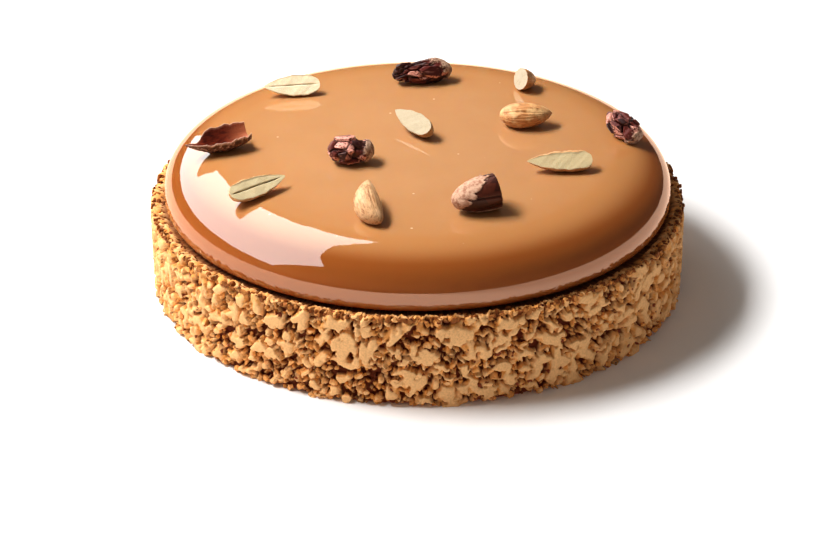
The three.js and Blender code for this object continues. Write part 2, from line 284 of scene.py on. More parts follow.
def toasted_crumb_group():
    """Colour and relief of praline crumb, from its depth inside the ring that pressed it; deep in
    the wall its colour is painted shade.
    """
    tree = bpy.data.node_groups.new("toasted_crumb", "ShaderNodeTree")
    for way, kind, names in (("INPUT", "Color", ("Pressed", "Toasted", "Crevice", "Skin")),
                             ("INPUT", "Float", ("Tone", "Ring Radius", "Top")),
                             ("OUTPUT", "Color", ("Colour",)), ("OUTPUT", "Float", ("Relief",))):
        for name in names:
            tree.interface.new_socket(name, in_out=way, socket_type="NodeSocket" + kind)
    given = tree.nodes.new("NodeGroupInput").outputs
    place = own_place(tree)
    flat = node(tree, "ShaderNodeVectorMath", {0: place, 1: (1, 1, 0)}, operation="MULTIPLY")
    radius = node(tree, "ShaderNodeVectorMath", {0: flat.outputs[0]}, operation="LENGTH")
    inside = maths(tree, "SUBTRACT", given["Ring Radius"], radius.outputs["Value"])
    below = maths(tree, "SUBTRACT", given["Top"], axis(tree, place, "Z"))
    inside = maths(tree, "MINIMUM", inside, maths(tree, "MAXIMUM", below, 0.0))
    fine = noise(tree, place, 1500.0)
    broad = blotches(tree, place, 260.0, 3.0, 0.35, 0.65)
    toasted = mix(tree, broad, given["Toasted"], given["Pressed"])
    toasted = mix(tree, given["Tone"], toasted, given["Toasted"])
    skins = blotches(tree, place, 330.0, 1.0, 0.66, 0.7)
    toasted = mix(tree, skins, toasted, given["Skin"])
    face = mix(tree, ramp(tree, inside, *PALE_DEPTHS), given["Pressed"], toasted)
    # painted shade: deeper in the wall the colour turns to that of a shaded crevice
    face = mix(tree, ramp(tree, inside, *CREVICE_SHADE_DEPTHS), face, given["Crevice"])
    shade = mix(tree, ramp(tree, fine, 0.3, 0.75, 0.0, 0.22), face, given["Crevice"])
    put = tree.nodes.new("NodeGroupOutput")
    tree.links.new(shade, put.inputs["Colour"])
    tree.links.new(fine, put.inputs["Relief"])
    return tree


toasted_crumb = toasted_crumb_group()


def crumb_material(name, relief, **shades):
    """Praline crumb, its shades given as a screen shows them."""
    material, tree, shader = new_material(name, Roughness=0.82, Specular_IOR_Level=0.2)
    crumb = node(tree, "ShaderNodeGroup", {
        **{key.title(): colour(*shade) for key, shade in shades.items()},
        "Tone": kept(tree, "tone"), "Ring Radius": RING_RADIUS * MM, "Top": CRUST_TOP * MM,
    }, node_tree=toasted_crumb)
    dress(tree, shader, crumb.outputs["Colour"], crumb.outputs["Relief"], 0.5, relief)
    return material


pressed_crumb = crumb_material(
    "pressed_crumb", relief=0.25, pressed=(248, 190, 126), toasted=(238, 162, 84),
    crevice=(98, 36, 6), skin=(132, 62, 34))

wall_random = np.random.default_rng(11)
wall_along, wall_up = np.meshgrid(np.arange(WALL_COLUMNS) * GIRTH / WALL_COLUMNS,
                                  np.linspace(0, BASE_HEIGHT, WALL_ROWS), indexing="ij")
wall_radius = RING_RADIUS - wall_depth(wall_random, wall_along, wall_up)
turns = wall_along[:, 0] / RING_RADIUS


def crust_ring(radius, height):
    return np.stack([radius * np.cos(turns), radius * np.sin(turns), height], 1).tolist()


crust_points = [(0, 0, 0)]
for row in range(WALL_ROWS):
    crust_points += crust_ring(wall_radius[:, row], wall_up[:, row])
rim_radius = wall_radius[:, -1]
for share, height, ragged in LEDGE_RINGS:
    crust_points += crust_ring(rim_radius + (SEAT_RADIUS - rim_radius) * share,
                               height + ragged * wall_random.uniform(-1, 1, WALL_COLUMNS))
crust_points.append((0, 0, BASE_HEIGHT))
pressed_crust = make_piece("pressed_crust", crust_points,
                           loft_faces(WALL_ROWS + len(LEDGE_RINGS), WALL_COLUMNS), pressed_crumb)
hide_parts("crumb_base")
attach(pressed_crust, "root")

# ---- Loose crumbs of the base ----
# Chopped nuts and baked crumbs of 1 to 4 mm, stuck in the open places of the wall and heaped on
# the ledge round the dome. Each kind is scattered over a band by one Geometry Nodes tree.

CRUMB_SHAPES = 12
CRUMB_FLATS = 9
CRUMB_ROUGHNESS = 0.12
BAND_STEPS = 180
CRUMBS_PER_SQUARE_METRE = 3.0e6
HIGHEST_CRUMB = 31.9
FULL_TURN = 6.283


def angular_crumb(random, detail):
    """A chopped fragment about 1 mm in radius: a ball with flats cut from it all round."""
    mesh = bmesh.new()
    bmesh.ops.create_icosphere(mesh, subdivisions=detail, radius=1.0)
    cuts = [(Vector(random.normal(size=3)).normalized(), random.uniform(0.45, 0.85))
            for _ in range(CRUMB_FLATS)]
    for vertex in mesh.verts:
        for direction, reach in cuts:
            beyond = vertex.co.dot(direction) - reach
            if beyond > 0:
                vertex.co -= direction * beyond
        vertex.co *= 1 + CRUMB_ROUGHNESS * random.uniform(-1, 1)
    return mesh


def crumb_shapes(name, seed, detail):
    """A collection of fragments for a scatter to pick from."""
    random = np.random.default_rng(seed)
    shapes = bpy.data.collections.new(name)
    for index in range(CRUMB_SHAPES):
        mesh = bpy.data.meshes.new(f"{name}_{index}")
        fragment = angular_crumb(random, detail)
        fragment.to_mesh(mesh)
        fragment.free()
        shapes.objects.link(bpy.data.objects.new(f"{name}_{index}", mesh))
    return shapes


def crumb_scatter_tree():
    """Scatters fragments over a band, sunk along its normal, none reaching past its limits."""
    tree = bpy.data.node_groups.new("scatter_crumbs", "GeometryNodeTree")
    kinds = {"Geometry": "Geometry", "Shapes": "Collection", "Material": "Material", "Seed": "Int"}
    lengths = ("Spacing", "Smallest", "Largest", "Least Sunk", "Most Sunk", "Inner Radius",
               "Least Reach", "Most Reach", "Highest")
    for name in (*kinds, *lengths):
        tree.interface.new_socket(name, in_out="INPUT",
                                  socket_type="NodeSocket" + kinds.get(name, "Float"))
    tree.interface.new_socket("Geometry", in_out="OUTPUT", socket_type="NodeSocketGeometry")
    given = tree.nodes.new("NodeGroupInput").outputs

    def chance(low, high, step):
        return node(tree, "FunctionNodeRandomValue",
                    {2: low, 3: high, "Seed": maths(tree, "ADD", given["Seed"], step)}).outputs[1]

    def keep(points, name, value):
        return node(tree, "GeometryNodeStoreNamedAttribute",
                    {"Geometry": points.outputs[0], "Name": name, "Value": value})

    spread = node(tree, "GeometryNodeDistributePointsOnFaces",
                  {"Mesh": given["Geometry"], "Distance Min": given["Spacing"],
                   "Density Max": CRUMBS_PER_SQUARE_METRE, "Seed": given["Seed"]},
                  distribute_method="POISSON")
    sunk_by = chance(given["Least Sunk"], given["Most Sunk"], 1)
    sink = node(tree, "ShaderNodeVectorMath",
                {0: spread.outputs["Normal"], "Scale": maths(tree, "MULTIPLY", sunk_by, -1.0)},
                operation="SCALE")
    sunk = node(tree, "GeometryNodeSetPosition",
                {"Geometry": spread.outputs["Points"], "Offset": sink.outputs[0]})
    reach = keep(sunk, "reach", chance(given["Least Reach"], given["Most Reach"], 2))
    toned = keep(reach, "tone", chance(0.0, 1.0, 3))
    shapes = node(tree, "GeometryNodeCollectionInfo",
                  {"Collection": given["Shapes"], "Separate Children": True,
                   "Reset Children": True})
    spin = node(tree, "FunctionNodeRandomValue",
                {0: (0.0, 0.0, 0.0), 1: (FULL_TURN,) * 3, "Seed": given["Seed"]},
                data_type="FLOAT_VECTOR")
    size = node(tree, "ShaderNodeCombineXYZ",
                {axis: chance(given["Smallest"], given["Largest"], 4 + axis)
                 for axis in range(3)})
    laid = node(tree, "GeometryNodeInstanceOnPoints",
                {"Points": toned.outputs[0], "Instance": shapes.outputs[0],
                 "Pick Instance": True, "Rotation": spin.outputs[0], "Scale": size.outputs[0]})
    real = node(tree, "GeometryNodeRealizeInstances", {"Geometry": laid.outputs[0]})
    place = node(tree, "ShaderNodeSeparateXYZ",
                 {0: node(tree, "GeometryNodeInputPosition").outputs[0]})
    squares = [maths(tree, "POWER", place.outputs[side], 2.0) for side in (0, 1)]
    radius = maths(tree, "SQRT", maths(tree, "ADD", *squares))
    limit = node(tree, "GeometryNodeInputNamedAttribute", {"Name": "reach"}).outputs[0]
    held = maths(tree, "MAXIMUM", maths(tree, "MINIMUM", radius, limit), given["Inner Radius"])
    share = maths(tree, "DIVIDE", held, radius)
    above_floor = maths(tree, "MAXIMUM", place.outputs[2], 0.0)
    within = node(tree, "ShaderNodeCombineXYZ", {
        0: maths(tree, "MULTIPLY", place.outputs[0], share),
        1: maths(tree, "MULTIPLY", place.outputs[1], share),
        2: maths(tree, "MINIMUM", above_floor, given["Highest"])})
    pressed = node(tree, "GeometryNodeSetPosition",
                   {"Geometry": real.outputs[0], "Position": within.outputs[0]})
    plain = node(tree, "GeometryNodeRemoveAttribute",
                {"Geometry": pressed.outputs[0], "Name": "reach"})
    coated = node(tree, "GeometryNodeSetMaterial",
                  {"Geometry": plain.outputs[0], "Material": given["Material"]})
    put = tree.nodes.new("NodeGroupOutput")
    tree.links.new(coated.outputs[0], put.inputs[0])
    return tree


scatter_crumbs = crumb_scatter_tree()


def round_axis(profile, count):
    """Rings of count points at each radius and height of a profile."""
    turns = [2 * math.pi * step / count for step in range(count)]
    return [(radius * math.cos(turn), radius * math.sin(turn), height)
            for radius, height in profile for turn in turns]


def band(name, lower, upper):
    """A plain band round the axis between two (radius, height) edges, in mm, facing outwards."""
    count = BAND_STEPS
    points = round_axis((lower, upper), count)
    faces = [(step, (step + 1) % count, count + (step + 1) % count, count + step)
             for step in range(count)]
    return make_piece(name, points, faces, pressed_crumb)


def scatter(name, lower, upper, shapes, material, seed, **sizes):
    """One kind of crumb over a band, made a plain mesh; lengths in mm."""
    source = band(name + "_band", lower, upper)
    modifier = source.modifiers.new("crumbs", "NODES")
    modifier.node_group = scatter_crumbs
    values = {"Shapes": shapes, "Material": material, "Seed": seed, "Highest": HIGHEST_CRUMB * MM}
    values.update({key.replace("_", " ").title(): value * MM for key, value in sizes.items()})
    for item in scatter_crumbs.interface.items_tree:
        if item.in_out == "INPUT" and item.name in values:
            modifier[item.identifier] = values[item.name]
    bpy.context.view_layer.update()
    graph = bpy.context.evaluated_depsgraph_get()
    mesh = bpy.data.meshes.new_from_object(source.evaluated_get(graph))
    mesh.name = name
    bpy.data.objects.remove(source)
    piece = into_scene(name, mesh)
    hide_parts("crumb_base")
    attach(piece, "root")


loose_crumb = crumb_material(
    "loose_crumb", relief=0.2, pressed=(242, 180, 110), toasted=(214, 136, 60),
    crevice=(80, 32, 8), skin=(120, 54, 32))
# darker copy of the crumb colours for the ledge under the dome: painted shade
shaded_ledge_crumb = crumb_material(
    "shaded_ledge_crumb", relief=0.2, pressed=(190, 122, 60), toasted=(128, 66, 24),
    crevice=(52, 18, 4), skin=(84, 34, 18))
coarse_shapes = crumb_shapes("coarse_crumb_shape", 5, 2)
small_shapes = crumb_shapes("small_crumb_shape", 6, 2)

scatter(
    "coarse_crumbs", (89.2, 0.8), (89.2, 30.6), coarse_shapes, pressed_crumb, 3,
    spacing=4.4, smallest=0.8, largest=2.1, least_sunk=0.0, most_sunk=1.8,
    inner_radius=80, least_reach=89.5, most_reach=90.0)
scatter(
    "loose_crumbs", (88.6, 0.5), (88.6, 30.8), small_shapes, loose_crumb, 4,
    spacing=2.25, smallest=0.55, largest=1.15, least_sunk=0.0, most_sunk=1.5,
    inner_radius=80, least_reach=88.9, most_reach=89.7)
scatter(
    "ledge_crumbs", (89.4, 30.9), (85.2, 29.9), small_shapes, shaded_ledge_crumb, 7,
    spacing=1.3, smallest=0.4, largest=1.35, least_sunk=-0.15, most_sunk=0.7,
    inner_radius=83.6, least_reach=89.3, most_reach=90.0)
for shapes in (coarse_shapes, small_shapes):
    for shape in list(shapes.objects):
        bpy.data.objects.remove(shape)
    bpy.data.collections.remove(shapes)

# ---- Glazed dome ----
# A mousse dome under a poured caramel mirror glaze, about 17 mm high with a broad round shoulder;
# its foot turns in where it meets the crust. One smooth skin, with a few pinprick bubbles.

DOME_FOOT_RADIUS = 83.0
DOME_RADIUS = 85.1
DOME_WIDEST_Z = 34.0
DOME_SHOULDER_Z = 48.2
DOME_TOP_Z = 48.6
SHOULDER_START = 60.0
SHOULDER_POWER = 2.5
DOME_STEPS_AROUND = 288
FOOT_STEPS, SHOULDER_STEPS, CROWN_STEPS = 14, 48, 14
# heights between which the caramel darkens down the shoulder, partly its own colour and partly
# painted shade, and the linear colour it turns
CARAMEL_AND_SHADE_DOWN_THE_SIDE = (
    (48.55, 47.9, (0.43, 0.178, 0.056, 1.0)),
    (48.15, 44.5, (0.255, 0.064, 0.009, 1.0)),
    (43.0, 38.5, (0.31, 0.077, 0.014, 1.0)),
)


def dome_height(radius):
    """Height of the glaze above the floor at a distance from the axis, both in mm."""
    crown = (DOME_TOP_Z - DOME_SHOULDER_Z) * max(0.0, 1 - (radius / SHOULDER_START) ** 2)
    out = max(0.0, (radius - SHOULDER_START) / (DOME_RADIUS - SHOULDER_START))
    up = max(0.0, 1 - out ** SHOULDER_POWER) ** (1 / SHOULDER_POWER)
    return DOME_WIDEST_Z + (DOME_SHOULDER_Z - DOME_WIDEST_Z) * up + crown


dome_profile = []
for step in range(FOOT_STEPS):
    turn = step / FOOT_STEPS * math.pi / 2
    dome_profile.append((DOME_FOOT_RADIUS + (DOME_RADIUS - DOME_FOOT_RADIUS) * math.sin(turn),
                         DOME_WIDEST_Z - (DOME_WIDEST_Z - BASE_HEIGHT) * math.cos(turn)))
for step in range(SHOULDER_STEPS + 1):
    out = max(0.0, math.cos(step / SHOULDER_STEPS * math.pi / 2)) ** (2 / SHOULDER_POWER)
    radius = SHOULDER_START + (DOME_RADIUS - SHOULDER_START) * out
    dome_profile.append((radius, dome_height(radius)))
for step in range(1, CROWN_STEPS + 1):
    radius = SHOULDER_START * (1 - step / (CROWN_STEPS + 1))
    dome_profile.append((radius, dome_height(radius)))

glaze, tree, shader = new_material(
    "caramel_glaze", Roughness=0.35, Specular_IOR_Level=0.0, Coat_Weight=1.0,
    Coat_Roughness=0.012, Coat_IOR=1.9, Subsurface_Weight=0.25, Subsurface_Scale=0.004)
shader.inputs["Subsurface Radius"].default_value = (1.0, 0.4, 0.15)
place = own_place(tree)
streaks = blotches(tree, place, 45.0, 4.0, 0.3, 0.7)
speckle = node(tree, "ShaderNodeTexVoronoi", {"Vector": place, "Scale": 130.0})
chosen = node(tree, "ShaderNodeSeparateColor", {0: speckle.outputs["Color"]}).outputs[0]
bubble = maths(tree, "MULTIPLY", ramp(tree, speckle.outputs["Distance"], 0.07, 0.03),
               ramp(tree, chosen, 0.7, 0.72))
caramel = mix(tree, streaks, (0.45, 0.21, 0.084, 1.0), (0.475, 0.225, 0.092, 1.0))
height = axis(tree, place, "Z")
# the glaze darkens down the shoulder: partly its own colour, partly painted shade
for start, end, shaded_tint in CARAMEL_AND_SHADE_DOWN_THE_SIDE:
    caramel = mix(tree, ramp(tree, height, start * MM, end * MM), caramel, shaded_tint)
caramel = mix(tree, maths(tree, "MULTIPLY", bubble, 0.7), caramel, colour(240, 205, 165))
tree.links.new(caramel, shader.inputs["Base Color"])
sway = bump(tree, noise(tree, place, 60.0, 2.0), 0.25, 0.4)
ripple = bump(tree, bubble, 0.3, 0.1, Normal=sway)
tree.links.new(ripple, shader.inputs["Normal"])
shiver = bump(tree, noise(tree, place, 420.0, 2.0), 0.15, 0.06, Normal=sway)
tree.links.new(shiver, shader.inputs["Coat Normal"])

dome_points = [(0, 0, BASE_HEIGHT), *round_axis(dome_profile, DOME_STEPS_AROUND),
               (0, 0, DOME_TOP_Z)]
glazed_dome = make_piece("glaze_skin", dome_points,
                         loft_faces(len(dome_profile), DOME_STEPS_AROUND), glaze)
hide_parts("glazed_dome")
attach(glazed_dome, "root")

# ---- Almonds ----
# Whole almonds in their skins, one cross-cut piece, and halves with the pale cut face up, two of
# them cut across the kernel so that the slit between its halves shows. They lie on the glaze.

ALMOND_BELLY = 0.4
ALMOND_TAPER = 1.7
ALMOND_TIP_BLUNTNESS = 0.8
SLIT_DEPTH = 1.1
SLIT_HALF_WIDTH = 0.2
LIP_RISE = 0.3
FACE_DROP = 0.12
RIM_DROP = 0.16
SKIN_WRINKLES, WRINKLE_DEPTH = (3, 7, 11, 16, 23, 31), 0.011
SKIN_RIDGES, RIDGE_DEPTH = 29, 0.012
WHOLE_STEPS_AROUND, WHOLE_STEPS_ALONG = 120, 90
HALF_STEPS_UNDER, HALF_STEPS_ALONG = 44, 96
BREAK_RINGS, BREAK_ROUGHNESS = (0.95, 0.7, 0.35), (-0.12, 0.05)
SINK_INTO_GLAZE = 0.12
FACE_SHARES = (0, 0.02, 0.04, 0.06, 0.085, 0.12, 0.17, 0.24, 0.32, 0.42, 0.52, 0.62, 0.71, 0.79,
               0.86, 0.92, 0.965, 1)


def almond_swell(place, bluntness=2.0, taper=ALMOND_TAPER):
    """Share of the full width at a place along an almond, from its round end, 0, to its tip, 1."""
    if place < ALMOND_BELLY:
        out = 1 - place / ALMOND_BELLY
        return max(0.0, 1 - out ** bluntness) ** (1 / bluntness)
    towards_tip = (place - ALMOND_BELLY) / (1 - ALMOND_BELLY)
    return max(0.0, 1 - towards_tip ** taper) ** ALMOND_TIP_BLUNTNESS


def places_along(end, steps):
    return [end * (1 - math.cos(math.pi * step / steps)) / 2 for step in range(1, steps)]


def smoothstep(value, start, end):
    share = min(1.0, max(0.0, (value - start) / (end - start)))
    return share * share * (3 - 2 * share)


def lay(name, shape, material, at, heading, pitch=0, roll=0):
    """Turns a topping, sets it on the glaze, and keeps its own coordinates as its grain."""
    own, faces, marks = shape
    own = np.asarray(own, float)
    turn = (Matrix.Rotation(math.radians(heading), 3, "Z")
            @ Matrix.Rotation(math.radians(-pitch), 3, "Y")
            @ Matrix.Rotation(math.radians(roll), 3, "X"))
    placed = own @ np.array(turn).T + (at[0], at[1], DOME_TOP_Z)
    clearance = min(z - dome_height(math.hypot(x, y)) for x, y, z in placed)
    placed[:, 2] -= clearance + SINK_INTO_GLAZE
    piece = make_piece(name + "_skin", placed, faces, material)
    grain = piece.data.attributes.new("grain", "FLOAT_VECTOR", "POINT")
    grain.data.foreach_set("vector", own.ravel())
    for mark, values in marks.items():
        attribute = piece.data.attributes.new(mark, "FLOAT", "POINT")
        attribute.data.foreach_set("value", np.asarray(values, float))
    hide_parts(name)
    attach(piece, "root")
    return piece


def whole_almond(seed, length, width, thickness, bow=0.0, broken_at=1.0, slant=0.0,
                 taper=ALMOND_TAPER):
    """An almond in its wrinkled skin along X, tip at +X, with a slanted flat break if broken."""
    random = np.random.default_rng(seed)
    around, middle = WHOLE_STEPS_AROUND, broken_at / 2
    places = places_along(broken_at, WHOLE_STEPS_ALONG) + ([broken_at] if broken_at < 1 else [])
    phases = random.uniform(0, 2 * math.pi, len(SKIN_WRINKLES))
    points, cut = [(-middle * length, 0, 0)], [0.0]
    for place in places:
        swell = almond_swell(place, taper=taper)
        for step in range(around):
            turn = 2 * math.pi * step / around
            wrinkle = sum(math.sin(count * turn + phase + 1.6 * math.sin(4 * place + 2 * phase))
                          for count, phase in zip(SKIN_WRINKLES, phases))
            skin = 1 + WRINKLE_DEPTH * wrinkle * swell
            across = width * swell * (skin * math.cos(turn) / 2 + bow)
            along = (place - middle) * length + slant * across * (place / broken_at) ** 3
            points.append((along, across, thickness / 2 * swell * skin * math.sin(turn)))
            cut.append(0.0)
    rings = len(places)
    if broken_at < 1:
        swell = almond_swell(broken_at)
        for share in BREAK_RINGS:
            for step in range(around):
                turn = 2 * math.pi * step / around
                across = width * swell * (share * math.cos(turn) / 2 + bow)
                along = middle * length + slant * across + random.uniform(*BREAK_ROUGHNESS)
                points.append((along, across, thickness / 2 * swell * share * math.sin(turn)))
                cut.append(1.0)
        rings += len(BREAK_RINGS)
    points.append((middle * length, bow * width * almond_swell(broken_at), 0))
    cut.append(1.0 if broken_at < 1 else 0.0)
    return points, loft_faces(rings, around), {"cut": cut, "slit": [0.0] * len(points)}


def half_almond(seed, length, width, depth, slit=0.0, lip_side=0, lip=0.2, bluntness=2.4):
    """Half an almond along X, cut face up; on the lip's side a strip of skin stands over it."""
    random = np.random.default_rng(seed)
    sides = list(FACE_SHARES[::-1]) + [-share for share in FACE_SHARES[1:]]
    points, cut, slits = [(-length / 2, 0, 0)], [0.5], [0.0]
    lumps = random.uniform(0, 2 * math.pi, 5)
    for place in places_along(1, HALF_STEPS_ALONG):
        swell = almond_swell(place, bluntness)
        along = (place - 0.5) * length
        opening = smoothstep(place, 0.0, 0.12) * (1 - smoothstep(place, 0.8, 0.97))
        opening *= 0.8 + 0.2 * math.sin(0.9 * along + lumps[2])
        lip_here = lip * smoothstep(place, 0.05, 0.25)
        nick = 0.028 * math.sin(1.3 * along + lumps[4]) + 0.014 * math.sin(3.7 * along + lumps[0])
        for side in sides:
            across = width / 2 * swell * side * (1 + nick)
            sway = 0.1 * math.sin(0.25 * along + lumps[3])
            gap = slit * math.exp(-((across - sway) / SLIT_HALF_WIDTH) ** 2) * opening
            rise = 0.1 * math.sin(0.8 * along + lumps[0]) * math.sin(0.9 * across + lumps[1])
            rise += 0.05 * math.sin(2.3 * along + lumps[2]) * math.sin(2.1 * across + lumps[3])
            edge = RIM_DROP * max(0.0, (abs(side) - 0.9) / 0.1) ** 2
            curl = max(0.0, side * lip_side - (1 - lip_here)) / lip
            bead = LIP_RISE * math.sin(math.pi * min(1.0, 1.3 * curl)) if curl > 0 else 0.0
            rise += bead - FACE_DROP - SLIT_DEPTH * gap - edge
            points.append((along, across, swell * rise))
            cut.append(1.0 if abs(side) < 0.97 and curl < 0.15 else 0.0)
            slits.append(gap)
        for step in range(1, HALF_STEPS_UNDER):
            turn = math.pi + math.pi * step / HALF_STEPS_UNDER
            ridge = math.sin(SKIN_RIDGES * turn + 2 * math.sin(4 * place))
            ridge = 1 - RIDGE_DEPTH * (1 + ridge)
            points.append((along, width / 2 * swell * ridge * (1 + nick) * math.cos(turn),
                           min(depth * swell * ridge * math.sin(turn), -FACE_DROP * swell)))
            cut.append(0.0)
            slits.append(0.0)
    points.append((length / 2, 0, 0))
    cut.append(0.5)
    slits.append(0.0)
    faces = loft_faces(HALF_STEPS_ALONG - 1, len(sides) + HALF_STEPS_UNDER - 1)
    return points, faces, {"cut": cut, "slit": slits}


def along_grain(tree, squeeze):
    """A topping's own coordinates, and the same drawn out along it for veins and flakes."""
    grain = node(tree, "ShaderNodeAttribute", attribute_name="grain").outputs["Vector"]
    drawn_out = node(tree, "ShaderNodeMapping", {"Vector": grain, "Scale": (squeeze, 1.0, 1.0)})
    return grain, drawn_out.outputs[0]


# the slit between the kernel's halves is darkened by painted shade
SLIT_PAINTED_SHADE = colour(92, 55, 26)


def almond_material(name, *shades):
    """Veined, pitted skin, or pale flesh where cut; shades of flesh, skin, vein and patch."""
    flesh, skin, vein, patch = (colour(*shade) for shade in shades)
    material, tree, shader = new_material(name, Roughness=0.5, Specular_IOR_Level=0.3,
                                          Subsurface_Weight=0.12, Subsurface_Scale=0.0012)
    shader.inputs["Subsurface Radius"].default_value = (1.0, 0.6, 0.35)
    grain, drawn_out = along_grain(tree, 0.15)
    veins = noise(tree, drawn_out, 1.5, 4.0, 0.6)
    pits = blotches(tree, drawn_out, 3.4, 1.0, 0.6, 0.68)
    skin_colour = mix(tree, ramp(tree, veins, 0.46, 0.66), skin, vein)
    skin_colour = mix(tree, blotches(tree, grain, 0.3, 3.0, 0.42, 0.68), skin_colour, patch)
    skin_colour = mix(tree, maths(tree, "MULTIPLY", pits, 0.5), skin_colour, vein)
    flesh_fine = noise(tree, grain, 2.4, 4.0)
    mottled = mix(tree, 0.2, flesh, vein)
    flesh_colour = mix(tree, ramp(tree, flesh_fine, 0.4, 0.75), flesh, mottled)
    # painted shade in the slit
    flesh_colour = mix(tree, ramp(tree, kept(tree, "slit"), 0.1, 0.6), flesh_colour, SLIT_PAINTED_SHADE)
    is_cut = ramp(tree, kept(tree, "cut"), 0.3, 0.7)
    dress(tree, shader, mix(tree, is_cut, skin_colour, flesh_colour),
          mix(tree, is_cut, veins, flesh_fine), 0.7, 0.25)
    return material


peeled_almond = almond_material("peeled_almond", (243, 226, 188), (232, 200, 152),
                                (176, 122, 70), (244, 220, 176))
# this half's flesh and skin are darker than the others' to offset the strong light on its face:
# painted shade
shaded_cream_almond = almond_material("shaded_cream_almond", (176, 160, 130), (176, 128, 80),
                               (128, 80, 40), (196, 162, 112))
green_almond = almond_material("green_almond", (206, 188, 146), (222, 172, 118),
                               (160, 108, 58), (232, 190, 142))
olive_almond = almond_material("olive_almond", (190, 170, 128), (214, 158, 106),
                               (160, 108, 58), (222, 176, 128))
brown_almond = almond_material("brown_almond", (190, 176, 150), (200, 138, 84),
                               (142, 86, 40), (222, 178, 122))
golden_almond = almond_material("golden_almond", (246, 230, 196), (204, 154, 106),
                                (146, 92, 50), (216, 172, 126))

lay("almond_half_back_left",
    half_almond(1, 19.6, 7.6, 4.6, slit=0.4, lip_side=-1, lip=0.08), peeled_almond,
    (-43.7, 41.3), 187, 0, -50)
lay("almond_piece_back_right",
    whole_almond(2, 19, 8.4, 7.6, broken_at=0.38, slant=0.45), brown_almond,
    (38.2, 48.6), 230, 22)
lay("almond_whole_right",
    whole_almond(3, 18, 10.8, 8, bow=-0.08, taper=2.4), brown_almond, (36.8, 16.6), 1, 2)
lay("almond_half_middle",
    half_almond(4, 18.6, 7, 6), shaded_cream_almond, (-1.9, 9.1), 128, 3, -42)
lay("almond_half_left",
    half_almond(5, 22, 7.6, 4.4, slit=0.9, lip_side=1, lip=0.16), green_almond,
    (-51.3, -37.8), 40, 0, 30)
lay("almond_half_right",
    half_almond(6, 21.6, 8, 4.2, lip_side=-1, lip=0.34, bluntness=3.0), olive_almond,
    (46.5, -19.3), 185, 0, -26)
lay("almond_whole_front",
    whole_almond(7, 22, 8.8, 7.4, bow=0.3), golden_almond, (-13.7, -50.1), 101, 12)

# ---- Cocoa beans ----
# Roasted beans, cracked open: dark, glossy crags, some facets painted pale as highlights and the
# grooves between them darkened by painted shade, and what is left of the thin, flaky husk round
# one end. The one in front is whole, cut square, its husk peeling.

BEAN_DETAIL = 7
SHARDS = 70
SHARD_REACH = 0.84
CRAG_GROOVE_SPREAD = 0.16
CRAG_GROOVE_SHARE = 0.45
CRAG_FADE = 0.1
HUSK_EDGE_WIDTH = 0.03
HUSK_RAG_SCALE, HUSK_RAGGED = 3.2, 0.13
HUSK_PEEL = 0.25
HUSK_WRINKLE = 0.1
# where the husk's low side and foot lie, as a share of half the height, and their spread
HUSK_SIDE, SIDE_SPREAD = -0.42, 0.3
HUSK_FOOT, FOOT_SPREAD = 0.68, 0.1
CRAGS_THROUGH_HUSK = 0.35
CHIP_SHINE = 0.3


def seeded_numbers(seed):
    """The same stream of numbers from 0 to 1 that shapes the solid's crags."""
    state = seed & 0xFFFFFFFF
    while True:
        state = (state + 0x6D2B79F5) & 0xFFFFFFFF
        value = ((state ^ (state >> 15)) * (state | 1)) & 0xFFFFFFFF
        value ^= (value + (((value ^ (value >> 7)) * (value | 61)) & 0xFFFFFFFF)) & 0xFFFFFFFF
        yield ((value ^ (value >> 14)) & 0xFFFFFFFF) / 4294967296


def chips(count, numbers):
    """Directions facing all ways, and how deep the chip at each is sunk."""
    directions, sunk = [], []
    for _ in range(count):
        up = 2 * next(numbers) - 1
        turn = 2 * math.pi * next(numbers)
        flat = math.sqrt(1 - up * up)
        directions.append((flat * math.cos(turn), flat * math.sin(turn), up))
        sunk.append(next(numbers))
    return np.array(directions), np.array(sunk)


def crag_relief(balls, count, numbers, spread):
    """Sunk share, closeness to a groove and number of the nearest chip, for each direction."""
    directions, sunk = chips(count, numbers)
    gaps = np.linalg.norm(balls[:, None, :] - directions[None], axis=2)
    order = np.argsort(gaps, axis=1)[:, :2]
    rows = np.arange(len(balls))
    groove = np.clip(1 - (gaps[rows, order[:, 1]] - gaps[rows, order[:, 0]]) / spread, 0, 1)
    return sunk[order[:, 0]], groove, order[:, 0]


